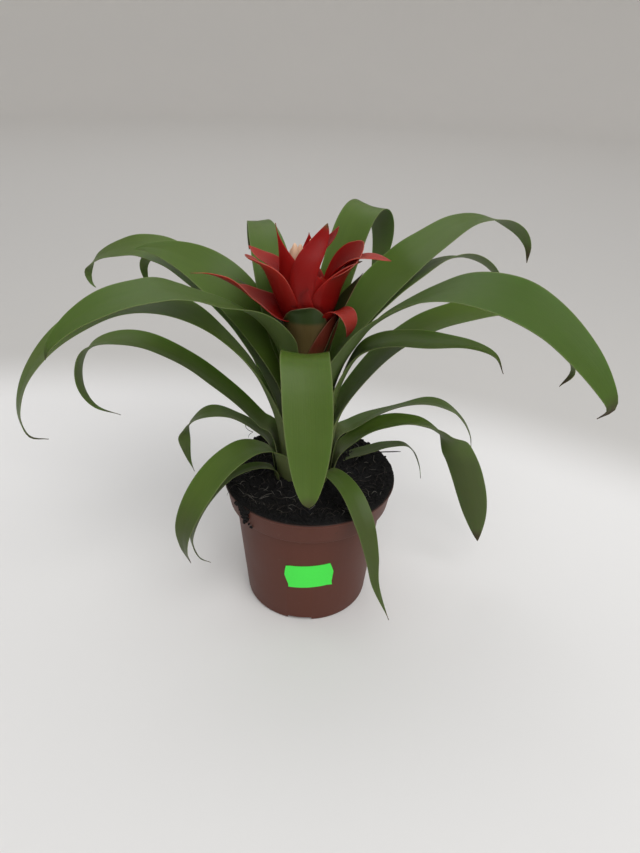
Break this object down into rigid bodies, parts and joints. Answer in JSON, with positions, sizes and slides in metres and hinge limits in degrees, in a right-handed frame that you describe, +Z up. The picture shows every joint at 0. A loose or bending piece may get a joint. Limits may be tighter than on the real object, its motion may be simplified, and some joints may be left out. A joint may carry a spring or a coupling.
{
  "type": "potted scarlet star",
  "caption": "Small rosette plant with arching strap leaves and a red star-shaped flower head, standing in a round brown nursery pot with a blank green label.",
  "frame": {"origin": "on the pot's vertical axis, in the plane of the surface that the pot stands on", "axes": "+Z up, -Y towards the front of the plant, where the label is, +X to the right seen from the front"},
  "size_m": [0.2614, 0.1658, 0.2087],
  "materials": {
    "pot": "satin",
    "label": "matte",
    "soil": "matte",
    "stem": "satin",
    "leaf": "satin",
    "stalk_bract": "satin",
    "red_bract": "satin",
    "floret": "satin"
  },
  "bodies": {
    "root": {"pot": "pot", "label": "label", "soil": "soil", "stem": "stem", "leaf_soil_right": "leaf", "leaf_soil_left": "leaf", "leaf_low_front_right": "leaf", "leaf_low_back": "leaf", "leaf_low_left": "leaf", "leaf_low_front_left": "leaf", "leaf_broad_right": "leaf", "leaf_low_right": "leaf", "leaf_mid_left": "leaf", "leaf_right": "leaf", "leaf_back_left": "leaf", "leaf_long_left": "leaf", "leaf_left_under": "leaf", "leaf_mid_right": "leaf", "leaf_slender_right": "leaf", "leaf_high_left": "leaf", "leaf_long_right": "leaf", "leaf_front": "leaf", "leaf_broad_left": "leaf", "leaf_high_right": "leaf", "leaf_back": "leaf", "leaf_back_right": "leaf", "stalk_bracts": "stalk_bract", "red_bracts": "red_bract", "floret_tips": "floret"}
  },
  "joints": []
}
